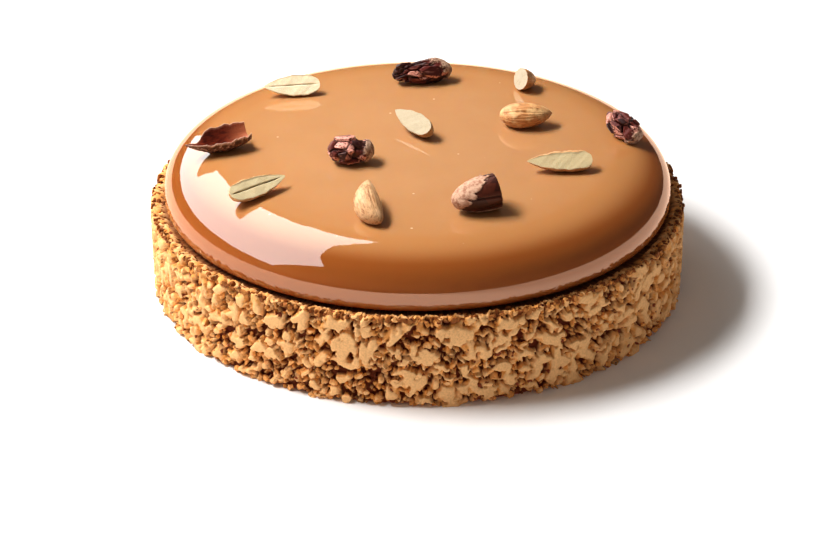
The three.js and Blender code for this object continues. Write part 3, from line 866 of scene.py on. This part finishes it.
def cocoa_bean(length, width, height, seed, crags, crag_size, smooth_from, husk, cut_at=1.0,
               shard_size=5.0):
    """A roasted bean, cracked into crags and shards. Husk is given as the end it is left on, the
    place where it starts, and how far that moves at the top, low sides and foot."""
    mesh = bmesh.new()
    bmesh.ops.create_icosphere(mesh, subdivisions=BEAN_DETAIL, radius=1.0)
    balls = np.array([vertex.co[:] for vertex in mesh.verts])
    balls /= np.linalg.norm(balls, axis=1)[:, None]
    faces = [[vertex.index for vertex in face.verts] for face in mesh.faces]
    mesh.free()
    numbers = seeded_numbers(seed)
    sunk, groove, facet = crag_relief(balls, crags, numbers, CRAG_GROOVE_SPREAD)
    ways, reaches = chips(SHARDS, numbers)
    towards = np.maximum(balls @ ways.T, 0.2)
    flats = (SHARD_REACH + (1 - SHARD_REACH) * reaches) / towards
    shard = np.argmin(flats, axis=1)
    flat = 1 - np.minimum(1, flats[np.arange(len(balls)), shard])
    tones = np.array([next(numbers) for _ in range(SHARDS)])
    ragged = np.array([
        mathutils.noise.fractal(Vector(ball * HUSK_RAG_SCALE) + Vector((seed, 0, 0)), 0.6, 2.1, 5)
        for ball in balls])
    end, husk_from, at_top, at_side, at_foot = husk
    along, _, up = balls.T
    start = husk_from + at_top * np.clip(up, 0, 1) ** 2 \
        + at_side * np.exp(-((up - HUSK_SIDE) / SIDE_SPREAD) ** 2) \
        + at_foot * np.clip((-up - HUSK_FOOT) / FOOT_SPREAD, 0, 1) + HUSK_RAGGED * ragged
    bare = 1 - np.clip((end * along - start) / HUSK_EDGE_WIDTH + 0.5, 0, 1)
    blend = np.clip((along - smooth_from + CRAG_FADE) / (2 * CRAG_FADE), 0, 1)
    craggy = 1 - blend * blend * (3 - 2 * blend)
    relief = sunk * (1 - CRAG_GROOVE_SHARE) + groove * CRAG_GROOVE_SHARE
    shown = CRAGS_THROUGH_HUSK + (1 - CRAGS_THROUGH_HUSK) * bare
    cut = crag_size * craggy * relief * shown + bare * (HUSK_PEEL + shard_size * flat) \
        + (1 - bare) * HUSK_WRINKLE * (1 + ragged)
    points = balls * (np.array([length, width, height]) / 2 - cut[:, None])
    points[:, 0] = np.minimum(points[:, 0], cut_at * length / 2)
    shine = CHIP_SHINE * tones[facet] + (1 - CHIP_SHINE) * tones[shard]
    return points, faces, {"bare": bare, "tone": shine, "groove": groove}


def cocoa_material(name, highlight_from, *shades):
    """Cracked nib, some facets painted pale as highlights and its grooves darkened by painted
    shade, or flaky husk where it is still on; shades of dark, middling and pale nib, and of pale
    and dark flakes."""
    nib_dark, nib_mid, nib_pale_and_highlight, flake, flake_dark = (colour(*shade) for shade in shades)
    material, tree, shader = new_material(name, Roughness=0.4, Specular_IOR_Level=0.3)
    grain, drawn_out = along_grain(tree, 0.12)
    tone, groove, bare = (kept(tree, name) for name in ("tone", "groove", "bare"))
    lines = noise(tree, drawn_out, 2.6, 3.0)
    fine = noise(tree, grain, 1.6, 4.0)
    nib = mix(tree, ramp(tree, tone, 0.3, 0.5), nib_dark, nib_mid)
    nib = mix(tree, maths(tree, "MULTIPLY", ramp(tree, fine, 0.45, 0.7), 0.5), nib, nib_dark)
    nib = mix(tree, maths(tree, "MULTIPLY", ramp(tree, lines, 0.54, 0.7), 0.25), nib, nib_pale_and_highlight)
    # painted highlight: facets whose tone passes highlight_from turn pale
    pale = maths(tree, "MULTIPLY", ramp(tree, tone, highlight_from, highlight_from + 0.06),
                 ramp(tree, fine, 0.62, 0.5))
    nib = mix(tree, pale, nib, nib_pale_and_highlight)
    # painted shade darkens the grooves between the crags
    nib = mix(tree, maths(tree, "MULTIPLY", ramp(tree, groove, 0.35, 0.9), 0.8), nib, nib_dark)
    flaky = mix(tree, blotches(tree, grain, 0.8, 5.0, 0.42, 0.62, 0.65), flake, flake_dark)
    streaked = maths(tree, "MULTIPLY", ramp(tree, lines, 0.55, 0.7), 0.35)
    flaky = mix(tree, streaked, flaky, flake_dark)
    tree.links.new(ramp(tree, bare, 0.0, 1.0, 0.7, 0.4), shader.inputs["Roughness"])
    dress(tree, shader, mix(tree, bare, flaky, nib), mix(tree, bare, lines, fine), 0.6, 0.2)
    return material


cracked_cocoa = cocoa_material("cracked_cocoa", 0.68, (40, 10, 8), (98, 38, 32), (214, 146, 126),
                               (196, 158, 130), (120, 84, 66))
smooth_cocoa = cocoa_material("smooth_cocoa", 0.95, (50, 17, 8), (74, 29, 14), (112, 62, 40),
                              (200, 158, 130), (158, 108, 82))

lay("cocoa_bean_back",
    cocoa_bean(22.8, 12, 10.6, 3, 34, 2.2, 0.4, husk=(1, 0.8, -0.5, 0, 0)), cracked_cocoa,
    (1, 53.2), 11)
lay("cocoa_bean_right",
    cocoa_bean(16, 11.8, 9.8, 8, 30, 2.2, 0.62, husk=(1, 0.84, 0, -0.1, 0)), cracked_cocoa,
    (69.2, 8.2), -47, -18)
lay("cocoa_bean_middle",
    cocoa_bean(16.8, 13.2, 10.8, 17, 26, 2.2, 0.66, husk=(1, 0.7, 0.1, 0, 0), shard_size=4.0),
    cracked_cocoa, (-22.5, -12.8), -4)
lay("cocoa_bean_front",
    cocoa_bean(27, 13, 12, 21, 12, 0.6, 0.9, cut_at=0.14, husk=(-1, 0.62, -0.6, 0.3, -1.1),
               shard_size=0.8), smooth_cocoa, (23.3, -46.7), 17, 8)

# ---- Cocoa husk ----
# A curved piece of a bean's husk, like a small boat: pointed at one end, torn open along the top.
# Dark and rough outside, glossy red-brown inside, there darker towards the point and lighter
# towards the broken end as painted shade, its thin torn rim pale.

HUSK_WALL = 0.8
HUSK_STATIONS = 14
HUSK_FULLEST = 0.6
HUSK_SEED = 5
HUSK_STEPS_ALONG, HUSK_STEPS_AROUND = 150, 56
HUSK_THIN_RIM = 0.55
HUSK_BUMPS = 0.14
HUSK_THINNEST = 0.12
# how far each side is torn down from a level rim, as a share of half a turn; the left side
# stands up past the point
LEFT_TORN, LEFT_STANDS, LEFT_NICKS = 0.18, 0.28, 0.08
RIGHT_TORN, RIGHT_NICKS = 0.02, 0.07
RIM_FRAY = 0.02


def husk_swell(place):
    """Share of the full section along the husk, from its point, 0, to its broken end, 1."""
    if place < HUSK_FULLEST:
        return 0.1 + 0.9 * math.sin(math.pi / 2 * place / HUSK_FULLEST) ** 0.8
    return 1 - 0.3 * ((place - HUSK_FULLEST) / (1 - HUSK_FULLEST)) ** 2


def cocoa_husk(length, width, depth):
    """The husk along X, point at -X, torn rim high on the +Y side, closed along its rim."""
    numbers = seeded_numbers(HUSK_SEED)
    rims = [(next(numbers), next(numbers)) for _ in range(HUSK_STATIONS + 1)]
    stations, steps = HUSK_STEPS_ALONG, HUSK_STEPS_AROUND
    outer, inner, rim_marks = [], [], []
    for station in range(stations + 1):
        place = station / stations
        at = place * HUSK_STATIONS
        low = min(HUSK_STATIONS - 1, int(at))
        left_tear = rims[low][0] + (rims[low + 1][0] - rims[low][0]) * (at - low)
        right_tear = rims[low][1] + (rims[low + 1][1] - rims[low][1]) * (at - low)
        ragged = RIM_FRAY * mathutils.noise.noise(Vector((40 * place, 0, 0)))
        along = (place - 0.5) * length
        swell = husk_swell(place)
        wall = min(HUSK_WALL, 0.45 * depth * swell)
        left = LEFT_TORN - LEFT_STANDS * smoothstep(place, 0.15, 0.42) \
            + LEFT_NICKS * left_tear + ragged
        right = RIGHT_TORN + RIGHT_NICKS * right_tear - ragged
        for step in range(steps + 1):
            share = 1 - step / steps
            turn = math.pi * (1 + left + (1 - left - right) * share)
            towards_rim = abs(2 * share - 1)
            thin = wall * (1 - HUSK_THIN_RIM * smoothstep(towards_rim, 0.6, 1.0))
            bumpy = HUSK_BUMPS * (1 + mathutils.noise.fractal(
                Vector((0.9 * along, 2.4 * turn, 0)), 0.8, 2.0, 4))
            for skin, inset in ((outer, bumpy), (inner, max(thin, bumpy + HUSK_THINNEST))):
                skin.append((along, -(width / 2 * swell - inset) * math.cos(turn),
                             (depth * swell - inset) * math.sin(turn)))
            rim_marks.append(smoothstep(towards_rim, 0.88, 0.99))
    count, total = steps + 1, (stations + 1) * (steps + 1)
    faces = []
    for station in range(stations):
        near, far = station * count, (station + 1) * count
        for step in range(steps):
            faces.append((near + step, near + step + 1, far + step + 1, far + step))
            faces.append((total + near + step, total + far + step, total + far + step + 1,
                          total + near + step + 1))
        faces.append((near, far, total + far, total + near))
        faces.append((total + near + steps, total + far + steps, far + steps, near + steps))
    last = stations * count
    for step in range(steps):
        faces.append((total + step, total + step + 1, step + 1, step))
        faces.append((last + step, last + step + 1, total + last + step + 1, total + last + step))
    inside = [0.0] * total + [1.0] * total
    return outer + inner, faces, {"inside": inside, "rim": rim_marks + rim_marks}


husk, tree, shader = new_material("cocoa_husk", Roughness=0.42, Specular_IOR_Level=0.45)
grain, drawn_out = along_grain(tree, 0.3)
lines = noise(tree, drawn_out, 1.4, 4.0, 0.6)
red = mix(tree, ramp(tree, lines, 0.35, 0.65), colour(80, 21, 9), colour(134, 52, 27))
# painted shade: the inside is lighter towards the broken end, darker towards the narrow point
red = mix(tree, ramp(tree, axis(tree, grain, "X"), 3.0, 11.0), red, colour(180, 102, 66))
rough = mix(tree, ramp(tree, lines, 0.38, 0.62), colour(108, 64, 42), colour(48, 22, 12))
rough = mix(tree, blotches(tree, grain, 1.2, 3.0, 0.52, 0.66), rough, colour(196, 150, 128))
shell = mix(tree, kept(tree, "inside"), rough, red)
shell = mix(tree, maths(tree, "MULTIPLY", kept(tree, "rim"), 0.6), shell, colour(232, 186, 158))
dress(tree, shader, shell, lines, 0.7, 0.3)

lay("cocoa_husk_left", cocoa_husk(22.4, 10.6, 6), husk, (-66.8, -3.8), 24, 4)

# ---- Floor, light and camera ----
# The cake stands on a plain white surface, which glows warm in reflections alone, dimmer to the
# right: a painted reflection, with the cake's painted shadow in it. A glowing pane, seen in
# reflections alone, stands for a window; two soft lights light the cake from the left and behind.
# The camera looks down on it.

FLOOR_REACH = 6000
white, tree, shader = new_material("white_surface", Base_Color=(0.88, 0.87, 0.86, 1),
                                   Roughness=0.9, Specular_IOR_Level=0.0)
# painted reflection: the floor glows warm for glossy rays, dimmer towards +X as a painted shadow
# of the cake
mirrored_floor_glow = node(tree, "ShaderNodeEmission", {
    "Color": (1.0, 0.64, 0.45, 1),
    "Strength": ramp(tree, axis(tree, own_place(tree), "X"), 0.04, 0.2, 2.6, 1.7)})
ray = node(tree, "ShaderNodeLightPath")
seen = node(tree, "ShaderNodeMixShader", {0: ray.outputs["Is Glossy Ray"],
                                          1: shader.outputs[0], 2: mirrored_floor_glow.outputs[0]})
tree.links.new(seen.outputs[0], tree.nodes["Material Output"].inputs["Surface"])
floor = make_piece("floor", [(FLOOR_REACH * x, FLOOR_REACH * y, 0)
                             for x, y in ((-1, -1), (1, -1), (1, 1), (-1, 1))],
                   [(0, 1, 2, 3)], white)

LIT_BY_ROOM = (0.19, 0.174, 0.158, 1)
MIRRORED_ROOM = (0.06, 0.05, 0.045, 1)
world = bpy.data.worlds.new("studio")
bpy.context.scene.world = world
world.use_nodes = True
tree = world.node_tree
ray = node(tree, "ShaderNodeLightPath")
room = mix(tree, ray.outputs["Is Glossy Ray"], LIT_BY_ROOM, MIRRORED_ROOM)
room = mix(tree, ray.outputs["Is Camera Ray"], room, (1.0, 1.0, 1.0, 1))
tree.links.new(room, tree.nodes["Background"].inputs["Color"])

WINDOW_AZIMUTH = math.radians(-65)
WINDOW_DISTANCE = 800
# corners as azimuth and elevation seen from the cake, in degrees
WINDOW_CORNERS = ((-21, 10.5), (-4, 47), (-120, 58), (-115, 22))
corners = []
for azimuth, elevation in np.radians(WINDOW_CORNERS):
    away = WINDOW_DISTANCE / math.cos(azimuth - WINDOW_AZIMUTH)
    corners.append((away * math.sin(azimuth), away * math.cos(azimuth),
                    away * math.tan(elevation)))
daylight, tree, shader = new_material("daylight")
glow = node(tree, "ShaderNodeEmission", {
    "Strength": ramp(tree, axis(tree, own_place(tree), "Z"), 0.2, 1.9, 4.2, 3.9)})
tree.links.new(glow.outputs[0], tree.nodes["Material Output"].inputs["Surface"])
window = make_piece("window", corners, [(0, 1, 2, 3)], daylight)
for rays in ("camera", "diffuse", "transmission", "volume_scatter", "shadow"):
    setattr(window, "visible_" + rays, False)


def soft_light(name, across, up, watts, location, rotation):
    """A rectangular light, neither seen nor mirrored."""
    data = bpy.data.lights.new(name, "AREA")
    data.shape = "RECTANGLE"
    data.size, data.size_y, data.energy = across, up, watts
    light = into_scene(name, data)
    light.location, light.rotation_euler = location, rotation
    light.visible_camera = light.visible_glossy = False


FILL_DISTANCE, FILL_RISE = 0.8, 1.17
soft_light("fill", 1.5, 1.3, 7.0, FILL_DISTANCE * Vector((
    math.sin(WINDOW_AZIMUTH), math.cos(WINDOW_AZIMUTH), FILL_RISE)),
    (math.radians(90), 0, math.radians(180) - WINDOW_AZIMUTH))

KEY_DISTANCE = 0.7
KEY_AZIMUTH, KEY_ELEVATION = math.radians(-80), math.radians(57)
key_place = KEY_DISTANCE * Vector((
    math.sin(KEY_AZIMUTH) * math.cos(KEY_ELEVATION),
    math.cos(KEY_AZIMUTH) * math.cos(KEY_ELEVATION), math.sin(KEY_ELEVATION)))
soft_light("key", 0.44, 0.15, 9.2, key_place, key_place.to_track_quat("Z", "Y").to_euler())

CAMERA_DISTANCE = 0.9
CAMERA_ELEVATION = math.radians(27.97)
CAMERA_TARGET = Vector((-0.00086, 0.0, -0.00077))
camera_data = bpy.data.cameras.new("camera")
camera_data.sensor_width = 36.0
camera_data.lens = 113.7
camera = into_scene("camera", camera_data)
camera.location = CAMERA_TARGET + CAMERA_DISTANCE * Vector(
    (0, -math.cos(CAMERA_ELEVATION), math.sin(CAMERA_ELEVATION)))
camera.rotation_euler = (math.radians(90) - CAMERA_ELEVATION, 0, 0)
bpy.context.scene.camera = camera
bpy.context.scene.view_settings.view_transform = "Standard"
